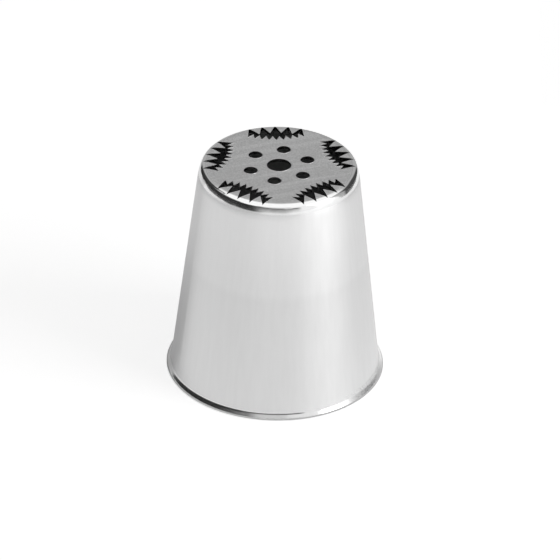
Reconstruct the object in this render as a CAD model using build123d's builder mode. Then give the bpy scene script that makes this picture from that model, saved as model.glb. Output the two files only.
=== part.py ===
from build123d import *
from math import asin, atan, cos, degrees, radians, sin
import os

os.makedirs("parts", exist_ok=True)

# Driving dimensions, in millimetres and degrees.
# The nozzle stands on its wide end, with its axis on Z and its pierced tip on top.

# The tapered wall: where its outside would meet the floor and the plane of the tip
nozzle_height = 37.1
foot_radius = 16.87
tip_radius = 12.63
sheet = 0.5

# The flared rim that the nozzle stands on: how far it reaches past the taper, the upright edge
# that it ends in, and how far from upright it has turned there
rim_reach = 0.63
rim_edge = 0.12
flare_angle = 50

# The cap's shoulder, as inside bends and how far from level each one turns the sheet: a gentle
# crown round the flat, a tight corner, and a long easing into the wall
crown_bend = 2.3
crown_angle = 18
corner_bend = 0.2
corner_angle = 70.5
easing_bend = 8.5

# The weld that joins the cap to the cone, and how far it lies under the shoulder
weld_clearance = 0.4
weld_width = 0.5
weld_depth = 0.22

# Round outlets
centre_hole_radius = 1.92
small_hole_radius = 1.09
small_hole_pitch_radius = 4.82
small_hole_count = 6

# Toothed slots: long spikes on the outer side, a fine comb on the inner side.
# The spike tips stop short of the wall's inside, so that the wall stays whole.
slot_count = 5
spike_wall_gap = 0.24
spike_length = 2.27
spike_pitch_angle = 10.2
spikes_each_side = 2
comb_inner_radius = 7.73
comb_arc_radius = 11.4
comb_depth = 1.15
notch_pitch = 1.16
notches_each_side = 4

# How fast the wall closes in with height, its lean from upright, and its thickness measured level
taper = (foot_radius - tip_radius) / nozzle_height
lean = degrees(atan(taper))
level_thickness = sheet * (1 + taper**2) ** 0.5


def outer_radius(height):
    """Radius of the outside of the tapered wall."""
    return foot_radius - taper * height


def inner_radius(height):
    """Radius of the inside of the tapered wall."""
    return outer_radius(height) - level_thickness


def polar(radius, angle):
    """A point at a radius and an angle."""
    return (radius * cos(radians(angle)), radius * sin(radians(angle)))


def half_steps(count):
    """Steps of a half from -count to +count."""
    return [half / 2 for half in range(-2 * count, 2 * count + 1)]


# The shoulder turns from level to the wall in three bends, and the flat ends where they begin
crown_radius = crown_bend + sheet
corner_radius = corner_bend + sheet
easing_radius = easing_bend + sheet
crown_out, crown_down = polar(crown_radius - corner_radius, 90 - crown_angle)
corner_out, corner_down = polar(corner_radius - easing_radius, 90 - corner_angle)
easing_out, easing_down = polar(easing_radius, lean)
shoulder_foot = nozzle_height - crown_radius + crown_down + corner_down + easing_down
flat_radius = outer_radius(shoulder_foot) - crown_out - corner_out - easing_out

# Under the shoulder the cap and the cone meet on a flat land, with a groove round the outside
# for the weld
weld_top = shoulder_foot - weld_clearance
joint_height = weld_top - weld_width / 2
weld_bottom = joint_height - weld_width / 2
cap_depth = nozzle_height - joint_height
groove_top = (outer_radius(weld_top), weld_top)
groove_bottom = (outer_radius(weld_bottom), weld_bottom)
groove_root = (outer_radius(joint_height) - weld_depth, joint_height)
land_inner = (inner_radius(joint_height), joint_height)

# Sections stand on the side away from the first slot, where the sheet is unbroken
section_plane = Plane(origin=(0, 0, 0), x_dir=(-1, 0, 0), z_dir=(0, 1, 0))


# The flare bends outwards about a centre outside the rim, from the wall's lean to its own angle,
# and the sheet's inside follows it down to the floor
rim_radius = foot_radius + rim_reach
unit_out, unit_up = polar(1, flare_angle)
flare_radius = (rim_reach + taper * rim_edge) / ((1 + taper**2) ** 0.5 - unit_out - taper * unit_up)
flare_out, flare_up = polar(flare_radius, flare_angle)
flare_centre = (rim_radius + flare_out, rim_edge + flare_up)
flare_inside_radius = flare_radius + sheet
floor_angle = degrees(asin((rim_edge + flare_up) / flare_inside_radius))


# Cone shell: the sheet wall in section, from the standing rim up to the joint
with BuildPart() as cone_shell:
    with BuildSketch(section_plane):
        with BuildLine():
            outside = CenterArc(flare_centre, flare_radius, 180 + lean, flare_angle - lean)
            inside = CenterArc(flare_centre, flare_inside_radius, 180 + lean, floor_angle - lean)
            Polyline(outside @ 0, groove_bottom, groove_root, land_inner, inside @ 0)
            Polyline(inside @ 1, (rim_radius, 0), outside @ 1)
        make_face()
    revolve(axis=Axis.Z)

cone_shell.part.label = "cone_shell"
export_step(cone_shell.part, "parts/cone_shell.step")


# Slot outline, lying along +X: spikes on an arc about the nozzle's axis, and a comb on an arc
# that bulges towards the axis
spike_tip_radius = inner_radius(shoulder_foot) - spike_wall_gap
spike_root_radius = spike_tip_radius - spike_length
comb_centre = comb_inner_radius + comb_arc_radius
notch_angle = degrees(notch_pitch / comb_arc_radius)


def spike_corner(step):
    """A corner of the outer side: spike tips on whole steps, their roots on the half steps."""
    radius = spike_tip_radius if step == int(step) else spike_root_radius
    return polar(radius, step * spike_pitch_angle)


def comb_corner(step):
    """A corner of the inner side: notch ends on whole steps, tooth points on the half steps."""
    radius = comb_arc_radius if step == int(step) else comb_arc_radius - comb_depth
    inward, across = polar(radius, step * notch_angle)
    return (comb_centre - inward, across)


with BuildSketch() as slot:
    with BuildLine():
        spike_side = [spike_corner(step) for step in half_steps(spikes_each_side)]
        comb_side = [comb_corner(-step) for step in half_steps(notches_each_side)]
        Polyline(*spike_side, *comb_side, close=True)
    make_face()


def cap_face(inset):
    """One face of the cap's sheet in section, from the axis to the wall; the outside has no inset."""
    level = nozzle_height - inset
    flat = Line((0, level), (flat_radius, level))
    crown = JernArc(flat @ 1, flat % 1, crown_radius - inset, -crown_angle)
    corner = JernArc(crown @ 1, crown % 1, corner_radius - inset, crown_angle - corner_angle)
    return JernArc(corner @ 1, corner % 1, easing_radius - inset, corner_angle + lean - 90)


# Tip cap: a pressed disc with a rounded shoulder, pierced by the slots and the round outlets
with BuildPart() as tip_cap:
    with BuildSketch(section_plane):
        with BuildLine():
            outside = cap_face(0)
            inside = cap_face(sheet)
            Polyline(outside @ 1, groove_top, groove_root, land_inner, inside @ 1)
            Line((0, nozzle_height), (0, nozzle_height - sheet))
        make_face()
    revolve(axis=Axis.Z)

    with BuildSketch(Plane.XY.offset(nozzle_height)):
        with PolarLocations(0, slot_count):
            add(slot.sketch)
    extrude(amount=-cap_depth, mode=Mode.SUBTRACT)

    with Locations(Plane.XY.offset(nozzle_height)):
        Hole(centre_hole_radius)
        with PolarLocations(small_hole_pitch_radius, small_hole_count):
            Hole(small_hole_radius)

tip_cap.part.label = "tip_cap"
export_step(tip_cap.part, "parts/tip_cap.step")


# Seam weld: the ring of weld metal in the groove, ground flush with the taper
with BuildPart() as seam_weld:
    with BuildSketch(section_plane):
        with BuildLine():
            Polyline(groove_top, groove_bottom, groove_root, close=True)
        make_face()
    revolve(axis=Axis.Z)

seam_weld.part.label = "seam_weld"
export_step(seam_weld.part, "parts/seam_weld.step")
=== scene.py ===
from math import cos, pi, radians, sin

import bpy
from mathutils import Matrix, Vector

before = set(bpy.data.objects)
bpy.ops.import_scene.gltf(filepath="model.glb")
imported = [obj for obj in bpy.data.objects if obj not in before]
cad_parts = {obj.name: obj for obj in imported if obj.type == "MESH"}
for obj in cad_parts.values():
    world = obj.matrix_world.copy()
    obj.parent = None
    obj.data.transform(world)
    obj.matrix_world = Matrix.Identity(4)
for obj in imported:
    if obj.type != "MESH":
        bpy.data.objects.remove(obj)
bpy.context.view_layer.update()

scene = bpy.context.scene
scene.view_settings.view_transform = "Standard"

MM = 0.001

# The photograph's camera, fitted to its two rims and its round outlets
PHOTO_PIXELS = 560
FOCAL_PIXELS = 6500
SENSOR_MM = 36
CAMERA_DISTANCE = 1042.4 * MM
CAMERA_ELEVATION = 32.27
CAMERA_ROLL = 1.247
AIM_RIGHT = 0.533 * MM
AIM_HEIGHT = 15.537 * MM
CLIP_START = CAMERA_DISTANCE / 20
# How far the first slot points from the picture's right towards its back
FIRST_SLOT_ANGLE = 21.85


def studio_direction(azimuth, elevation):
    """A direction in the studio: 0 points at the photographer, 90 to the picture's right."""
    turned = radians(azimuth - 90 - FIRST_SLOT_ANGLE)
    rise = radians(elevation)
    return Vector((cos(turned) * cos(rise), sin(turned) * cos(rise), sin(rise)))


def add_camera():
    """The camera of the photograph."""
    right = studio_direction(90, 0)
    forward = studio_direction(180, -CAMERA_ELEVATION)
    up = right.cross(forward)
    roll = radians(CAMERA_ROLL)
    rolled_right = cos(roll) * right + sin(roll) * up
    rolled_up = cos(roll) * up - sin(roll) * right
    aim = right * AIM_RIGHT + Vector((0, 0, AIM_HEIGHT))
    data = bpy.data.cameras.new("camera")
    data.sensor_width = SENSOR_MM
    data.lens = FOCAL_PIXELS * SENSOR_MM / PHOTO_PIXELS
    data.clip_start = CLIP_START
    camera = bpy.data.objects.new("camera", data)
    turn = Matrix((rolled_right, rolled_up, -forward)).transposed().to_4x4()
    camera.matrix_world = Matrix.Translation(aim - CAMERA_DISTANCE * forward) @ turn
    scene.collection.objects.link(camera)
    scene.camera = camera


# Node helpers


def add(tree, kind, inputs=None, **settings):
    """A new node, with its settings, and with each named input set or linked."""
    node = tree.nodes.new(kind)
    for name, value in settings.items():
        setattr(node, name, value)
    for socket, value in (inputs or {}).items():
        if isinstance(value, bpy.types.NodeSocket):
            tree.links.new(value, node.inputs[socket])
        else:
            node.inputs[socket].default_value = value
    return node


def maths(tree, operation, first, second=0.0, third=0.0):
    """The result of one sum."""
    inputs = {0: first, 1: second, 2: third}
    return add(tree, "ShaderNodeMath", inputs, operation=operation).outputs[0]


def total(tree, *parts):
    """Several numbers, added."""
    result = parts[0]
    for part in parts[1:]:
        result = maths(tree, "ADD", result, part)
    return result


def product(tree, *parts):
    """Several numbers, multiplied."""
    result = parts[0]
    for part in parts[1:]:
        result = maths(tree, "MULTIPLY", result, part)
    return result


def vectors(tree, operation, first, second=(0, 0, 0)):
    """The result of one sum of vectors."""
    inputs = {0: first, 1: second}
    return add(tree, "ShaderNodeVectorMath", inputs, operation=operation).outputs["Vector"]


def scaled(tree, vector, scale):
    """A vector, made longer or shorter."""
    inputs = {0: vector, "Scale": scale}
    return add(tree, "ShaderNodeVectorMath", inputs, operation="SCALE").outputs["Vector"]


def length(tree, vector):
    """How long a vector is."""
    return add(tree, "ShaderNodeVectorMath", {0: vector}, operation="LENGTH").outputs["Value"]


def along(tree, vector, direction):
    """How far a vector reaches along a direction."""
    inputs = {0: vector, 1: direction}
    return add(tree, "ShaderNodeVectorMath", inputs, operation="DOT_PRODUCT").outputs["Value"]


def upward(tree, vector):
    """How far a vector reaches upwards."""
    return add(tree, "ShaderNodeSeparateXYZ", {0: vector}).outputs["Z"]


def mix(tree, kind, factor, low, high):
    """A number or vector between two others."""
    node = add(tree, "ShaderNodeMix", None, data_type=kind)
    wanted = {"FLOAT": "VALUE", "VECTOR": "VECTOR"}[kind]
    for name, value in (("Factor", factor), ("A", low), ("B", high)):
        of_kind = "VALUE" if name == "Factor" else wanted
        target = next(s for s in node.inputs if s.name == name and s.type == of_kind)
        if isinstance(value, bpy.types.NodeSocket):
            tree.links.new(value, target)
        else:
            target.default_value = value
    return next(s for s in node.outputs if s.type == wanted)


def between(tree, factor, low, high):
    """A number between two others."""
    return mix(tree, "FLOAT", factor, low, high)


def step(tree, value, start, end, low=0.0, high=1.0):
    """A smooth step from low at the start to high at the end."""
    inputs = {"Value": value, "From Min": start, "From Max": end, "To Min": low, "To Max": high}
    node = add(tree, "ShaderNodeMapRange", inputs, interpolation_type="SMOOTHSTEP")
    return node.outputs["Result"]


def noise(tree, place, stretch, scale, detail):
    """Noise, stretched along the axes whose number is small."""
    inputs = {
        "Vector": vectors(tree, "MULTIPLY", place, stretch),
        "Scale": scale,
        "Detail": detail,
    }
    return add(tree, "ShaderNodeTexNoise", inputs).outputs[0]


# The studio: a white table, and a world that is plain for what it lights, white for the camera,
# and a room with a few bright and dark parts for what the steel mirrors

# The room's level where no part lies, and the level that lights what doesn't mirror
BACK_LIGHT = 0.425
FILL_LIGHT = 0.45
# Each part of the room has its lowest and highest elevation, its middle azimuth, its half width,
# the softness of its edges, and its level. A later part covers an earlier one.
ROOM = [
    ("left dark", -60, 35, -82, 68, 3, 0.03),
    ("ceiling", 45, 91, 0, 181, 4, 1.05),
    ("far left dark", 20, 50, -134, 17, 5, 0.05),
    ("left front", 33, 47, -46, 14, 2.5, 1.05),
    ("front", -60, 47, 4, 28, 12, 0.72),
    ("front right", -60, 47, 46, 31, 6, 0.95),
    ("front dark", 2.3, 23, -3, 33, 4, 0.1),
    ("right dark", -60, 36, 127, 23, 4, 0.06),
    ("window", -5, 60, 70, 17, 5, 1.18),
]


def sector(tree, azimuth, middle, half_width, soft):
    """One between two azimuths, nought elsewhere."""
    turn = maths(tree, "WRAP", maths(tree, "SUBTRACT", azimuth, radians(middle)), pi, -pi)
    turn = maths(tree, "ABSOLUTE", turn)
    return step(tree, turn, radians(half_width + soft), radians(half_width - soft))


def add_world():
    """The room round the table."""
    world = bpy.data.worlds.new("studio")
    scene.world = world
    world.use_nodes = True
    tree = world.node_tree
    tree.nodes.clear()
    ray = add(tree, "ShaderNodeTexCoord").outputs["Generated"]
    rise = upward(tree, ray)
    sideways = along(tree, ray, studio_direction(90, 0))
    azimuth = maths(tree, "ARCTAN2", sideways, along(tree, ray, studio_direction(0, 0)))
    light = BACK_LIGHT
    for _, low, high, middle, half_width, soft, level in ROOM:
        part = step(tree, rise, sin(radians(low - soft)), sin(radians(low + soft)))
        if high < 90:
            top = step(tree, rise, sin(radians(high + soft)), sin(radians(high - soft)))
            part = product(tree, part, top)
        if half_width < 180:
            part = product(tree, part, sector(tree, azimuth, middle, half_width, soft))
        light = between(tree, part, light, level)
    path = add(tree, "ShaderNodeLightPath").outputs
    shown = between(tree, path["Is Glossy Ray"], FILL_LIGHT, light)
    seen = maths(tree, "MAXIMUM", path["Is Camera Ray"], path["Is Transmission Ray"])
    shown = between(tree, seen, shown, 1.0)
    background = add(tree, "ShaderNodeBackground", {"Strength": shown, "Color": (1, 1, 1, 1)})
    output = add(tree, "ShaderNodeOutputWorld")
    tree.links.new(background.outputs[0], output.inputs["Surface"])


# The table's corners, to the right of the nozzle's axis and behind it, in millimetres. The steel
# mirrors its near edges, which lie on the left and behind on the right.
TABLE_CORNERS = [
    (-290, -1000),
    (-295, -200),
    (-274, -79),
    (-221, 12),
    (-134, 71),
    (-85, 80),
    (-85, 600),
    (45, 600),
    (45, 83),
    (122, 69),
    (179, 37),
    (228, 11),
    (900, -100),
    (900, -1000),
]
TABLE_COLOUR = (0.92, 0.92, 0.92, 1)
# The table's glow for the camera, and for what the steel mirrors. It has none inside the foot.
# Here and below, a pair of distances gives where a soft change starts and where it ends.
CAMERA_GLOW = 0.52
TABLE_GLOW = 0.4
GLOW_STARTS = (16 * MM, 17 * MM)
# A patch on the left and behind where the table glows less, painted shade that shows in the steel
# alone: how its glow rises with the distance from the axis, and where it ends towards the front
# and towards the right
SHADE_PATCH_DISTANCES = (28 * MM, 65 * MM)
SHADE_PATCH_GLOW = (0.03, 0.22)
SHADE_PATCH_FRONT_AZIMUTH = -37
SHADE_PATCH_FRONT = (18 * MM, 11 * MM)
SHADE_PATCH_RIGHT = (0.0, -12 * MM)


def add_table():
    """The white table."""
    right, behind = studio_direction(90, 0), studio_direction(180, 0)
    corners = [(x * right + y * behind) * MM for x, y in TABLE_CORNERS]
    mesh = bpy.data.meshes.new("table")
    mesh.from_pydata(corners, [], [range(len(corners) - 1, -1, -1)])
    table = bpy.data.objects.new("table", mesh)
    scene.collection.objects.link(table)
    material = bpy.data.materials.new("table")
    material.use_nodes = True
    tree = material.node_tree
    tree.nodes.clear()
    camera_ray = add(tree, "ShaderNodeLightPath").outputs["Is Camera Ray"]
    diffuse = add(tree, "ShaderNodeBsdfDiffuse", {"Color": TABLE_COLOUR})
    place = add(tree, "ShaderNodeNewGeometry").outputs["Position"]
    distance = length(tree, place)
    # Painted shade in the steel's reflection: the table's glow is dimmed on the left and behind
    shade_patch_glow = step(tree, distance, *SHADE_PATCH_DISTANCES, *SHADE_PATCH_GLOW)
    forwards = along(tree, place, studio_direction(SHADE_PATCH_FRONT_AZIMUTH, 0))
    rightwards = along(tree, place, right)
    shade_patch = step(tree, forwards, *SHADE_PATCH_FRONT)
    shade_patch = product(tree, shade_patch, step(tree, rightwards, *SHADE_PATCH_RIGHT))
    lift = between(tree, shade_patch, TABLE_GLOW, shade_patch_glow)
    lift = between(tree, camera_ray, lift, CAMERA_GLOW)
    lift = product(tree, lift, step(tree, distance, *GLOW_STARTS))
    glow = add(tree, "ShaderNodeEmission", {"Strength": lift})
    both = add(tree, "ShaderNodeAddShader", {0: diffuse.outputs[0], 1: glow.outputs[0]})
    output = add(tree, "ShaderNodeOutputMaterial")
    tree.links.new(both.outputs[0], output.inputs["Surface"])
    mesh.materials.append(material)


KEY_SIZE = 450 * MM
KEY_DISTANCE = 900 * MM
KEY_AZIMUTH = 66
KEY_ELEVATION = 32
KEY_WATTS = 1.7


def add_key_light():
    """The soft light on the right, whose faint shadow falls to the left."""
    data = bpy.data.lights.new("key", "AREA")
    data.shape = "SQUARE"
    data.size = KEY_SIZE
    data.energy = KEY_WATTS
    lamp = bpy.data.objects.new("key", data)
    direction = studio_direction(KEY_AZIMUTH, KEY_ELEVATION)
    lamp.location = direction * KEY_DISTANCE
    lamp.rotation_euler = direction.to_track_quat("Z", "Y").to_euler()
    scene.collection.objects.link(lamp)


# Steel. Heights and radii are in the nozzle's own millimetres, and angles in degrees.

# Where the finishes lie: satin from above the flare to under the shoulder, matt on the disc
SATIN_BOTTOM = (0.9, 1.1)
SATIN_TOP = (35.85, 35.35)
DISC_HEIGHT = (36.95, 37.05)
DISC_RADIUS = (11.8, 11.5)
FLARE_HEIGHT = (1.65, 1.5)
# How far a face turns towards the axis, away from it or downwards to count as such
FACING_IN = (-0.1, -0.4)
FACING_OUT = (0.2, 0.5)
FACING_DOWN = (-0.5, -0.8)

# Patterns of noise, as stretch, scale and detail: rings and drawn streaks on the wall, straight
# strokes, streaks and grain on the disc, and a ripple in the polish
PATTERNS = {
    "rings": ((0.02, 0.02, 1.0), 7.0, 3.0),
    "drawn": ((1.0, 1.0, 0.035), 1.1, 3.0),
    "strokes": ((0.05, 1.0, 1.0), 2.6, 4.0),
    "streaks": ((0.035, 0.6, 1.0), 1.3, 1.0),
    "grain": ((1.0, 1.0, 1.0), 6.0, 4.0),
    "ripple": ((1.0, 1.0, 1.0), 0.8, 4.0),
}

# Edges on top: how far a rounded edge departs from the face to count as worn, and how far out the
# combs of the slots lie. Past them the wear is slight, and along them stands a raised burr.
EDGE_ROUND = 0.2 * MM
EDGE_SAMPLES = 6
EDGE_LEVEL = (0.998, 0.94)
COMB_RADIUS = (10.0, 9.8)
WEAR = (0.25, 1.0)
BURR_TILT = 3.0

# The flare turns late, and ends in a rolled edge: its lean from upright above the turns, then the
# heights and the angle of each turn
FLARE_LEAN = 6.5
ROLLED_EDGE = (0.32, 0.24)
FLARE_TURNS = [((1.06, 0.86), 16.5), ((0.92, 0.65), 10), (ROLLED_EDGE, -38)]

# The scuffed part of the flare: its middle azimuth, and how closely a place lies along it
SCUFF_AZIMUTH = 65
SCUFF_SPREAD = (0.85, 0.97)

# Greys. Each lift or spread is added where its heights or its pattern says.
WALL_GREY = (0.785, 0.81)
# Painted light on the wall: a lighter band above about 21 mm, standing in for a mirrored edge,
# and a lift that grows towards the top
LIGHT_BAND_HEIGHTS = (20.0, 22.0)
LIGHT_BAND_LIFT = (0.0, 0.035)
TOP_LIGHT_HEIGHTS = (21.0, 34.0)
TOP_LIGHT_LIFT = (0.0, 0.07)
STROKE_LIMITS = (0.35, 0.7)
DISC_GREY = (0.475, 0.495)
STREAK_LIMITS = (0.5, 0.64)
STREAK_LIFT = (0.0, 0.04)
NOISE_LIMITS = (0.3, 0.7)
GRAIN_SPREAD = (-0.08, 0.08)
WORN_GREY = 0.93
# Inside and on faces turned downwards: partly a duller inner finish, partly painted shade that
# darkens the hollow
INSIDE_DULL_AND_SHADE_GREY = 0.5

# Roughness
WALL_ROUGHNESS = (0.32, 0.34)
SHOULDER_ROUGHNESS = 0.08
FLARE_ROUGHNESS = 0.13
DISC_LIMITS = (0.3, 0.75)
DISC_ROUGHNESS = (0.46, 0.4)
WORN_ROUGHNESS = 0.35
SCUFF_LIMITS = (0.4, 0.6)
SCUFF_ROUGHNESS = (0.25, 0.6)
EDGE_ROUGHNESS = 0.25

# How high the bump stands
POLISHED_BUMP = 0.006 * MM
SATIN_BUMP = 0.002 * MM
MATT_BUMP = 0.008 * MM

# The angle at which the edge between two faces stays sharp
SHARP_ANGLE = 35


def smooth(node):
    """Smooth shading over the facets, with the real edges kept sharp."""
    mesh = node.data
    mesh.attributes.remove(mesh.attributes["custom_normal"])
    mesh.shade_smooth()
    mesh.set_sharp_from_angle(angle=radians(SHARP_ANGLE))
    modifier = node.modifiers.new("weighted_normals", "WEIGHTED_NORMAL")
    modifier.keep_sharp = True


def flare_normal(tree, height, outward):
    """The way that the flare faces at a height."""
    lean = radians(FLARE_LEAN)
    for heights, degrees in FLARE_TURNS:
        lean = total(tree, lean, step(tree, height, *heights, 0.0, radians(degrees)))
    level_part = scaled(tree, outward, maths(tree, "COSINE", lean))
    rise = maths(tree, "SINE", lean)
    upright_part = add(tree, "ShaderNodeCombineXYZ", {"Z": rise}).outputs[0]
    return vectors(tree, "ADD", level_part, upright_part)


def steel(name):
    """Spun steel: satin on the wall, polished on the flare and the shoulder, matt on the disc."""
    material = bpy.data.materials.new(name)
    material.use_nodes = True
    tree = material.node_tree
    tree.nodes.clear()
    metres = add(tree, "ShaderNodeTexCoord").outputs["Object"]
    place = scaled(tree, metres, 1 / MM)
    height = upward(tree, place)
    from_axis = vectors(tree, "MULTIPLY", place, (1, 1, 0))
    radius = length(tree, from_axis)
    outward = vectors(tree, "NORMALIZE", from_axis)
    plain = add(tree, "ShaderNodeNewGeometry").outputs["Normal"]
    facing = along(tree, plain, outward)

    # Finishes
    satin = product(tree, step(tree, height, *SATIN_BOTTOM), step(tree, height, *SATIN_TOP))
    on_top = step(tree, height, *DISC_HEIGHT)
    matt = product(tree, on_top, step(tree, radius, *DISC_RADIUS))
    on_flare = product(tree, step(tree, height, *FLARE_HEIGHT), step(tree, facing, *FACING_OUT))
    inwards = step(tree, facing, *FACING_IN)
    downwards = step(tree, upward(tree, plain), *FACING_DOWN)
    inside = maths(tree, "MAXIMUM", inwards, downwards)

    pattern = {name: noise(tree, place, *row) for name, row in PATTERNS.items()}

    # Edges, and the burr along the combs
    bevel = {"Radius": EDGE_ROUND}
    rounded = add(tree, "ShaderNodeBevel", bevel, samples=EDGE_SAMPLES).outputs[0]
    edge = product(tree, step(tree, along(tree, plain, rounded), *EDGE_LEVEL), on_top)
    worn = product(tree, edge, step(tree, radius, *COMB_RADIUS, *WEAR))
    comb = product(tree, on_top, step(tree, radius, *COMB_RADIUS))
    tilt = scaled(tree, vectors(tree, "SUBTRACT", plain, rounded), BURR_TILT)
    normal = mix(tree, "VECTOR", comb, plain, vectors(tree, "ADD", plain, tilt))

    # The flare
    normal = mix(tree, "VECTOR", on_flare, normal, flare_normal(tree, height, outward))
    normal = vectors(tree, "NORMALIZE", normal)
    rim_edge = product(tree, on_flare, step(tree, height, *ROLLED_EDGE))
    scuff_reach = along(tree, outward, studio_direction(SCUFF_AZIMUTH, 0))
    scuffed = product(tree, on_flare, step(tree, scuff_reach, *SCUFF_SPREAD))

    wall_grey = total(
        tree,
        step(tree, pattern["drawn"], *NOISE_LIMITS, *WALL_GREY),
        # Painted light: the wall is lighter above about 21 mm, and lighter still towards the top
        step(tree, height, *LIGHT_BAND_HEIGHTS, *LIGHT_BAND_LIFT),
        step(tree, height, *TOP_LIGHT_HEIGHTS, *TOP_LIGHT_LIFT),
    )
    disc_grey = total(
        tree,
        step(tree, pattern["strokes"], *STROKE_LIMITS, *DISC_GREY),
        step(tree, pattern["streaks"], *STREAK_LIMITS, *STREAK_LIFT),
        step(tree, pattern["grain"], *NOISE_LIMITS, *GRAIN_SPREAD),
    )
    grey = between(tree, matt, wall_grey, disc_grey)
    grey = between(tree, worn, grey, WORN_GREY)
    # Painted shade, partly a duller finish: the inside and the faces turned downwards are darker
    grey = between(tree, inside, grey, INSIDE_DULL_AND_SHADE_GREY)
    colour = add(tree, "ShaderNodeCombineColor", {0: grey, 1: grey, 2: grey}).outputs[0]

    polished = between(tree, on_flare, SHOULDER_ROUGHNESS, FLARE_ROUGHNESS)
    wall_roughness = step(tree, pattern["drawn"], *NOISE_LIMITS, *WALL_ROUGHNESS)
    disc_roughness = step(tree, pattern["strokes"], *DISC_LIMITS, *DISC_ROUGHNESS)
    scuff_roughness = step(tree, pattern["grain"], *SCUFF_LIMITS, *SCUFF_ROUGHNESS)
    roughness = between(tree, satin, polished, wall_roughness)
    roughness = between(tree, matt, roughness, disc_roughness)
    roughness = between(tree, worn, roughness, WORN_ROUGHNESS)
    roughness = between(tree, scuffed, roughness, scuff_roughness)
    roughness = between(tree, rim_edge, roughness, EDGE_ROUGHNESS)

    bump_height = between(tree, satin, pattern["ripple"], pattern["rings"])
    bump_height = between(tree, matt, bump_height, pattern["grain"])
    bump_distance = between(tree, satin, POLISHED_BUMP, SATIN_BUMP)
    bump_distance = between(tree, matt, bump_distance, MATT_BUMP)
    inputs = {
        "Strength": 1.0,
        "Distance": bump_distance,
        "Height": bump_height,
        "Normal": normal,
    }
    bump = add(tree, "ShaderNodeBump", inputs)

    around = add(tree, "ShaderNodeTangent", None, direction_type="RADIAL", axis="Z").outputs[0]
    inputs = {
        "Base Color": colour,
        "Metallic": 1.0,
        "Roughness": roughness,
        "Anisotropic": 0.75,
        "Anisotropic Rotation": 0.25,
        "Tangent": mix(tree, "VECTOR", matt, around, (1, 0, 0)),
        "Normal": bump.outputs[0],
    }
    shader = add(tree, "ShaderNodeBsdfPrincipled", inputs)
    output = add(tree, "ShaderNodeOutputMaterial")
    tree.links.new(shader.outputs[0], output.inputs["Surface"])
    return material


add_camera()
add_world()
add_table()
add_key_light()
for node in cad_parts.values():
    smooth(node)
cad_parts["cone_shell"].material_slots[0].material = steel("cone_steel")
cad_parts["seam_weld"].material_slots[0].material = steel("weld_steel")
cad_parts["tip_cap"].material_slots[0].material = steel("cap_steel")
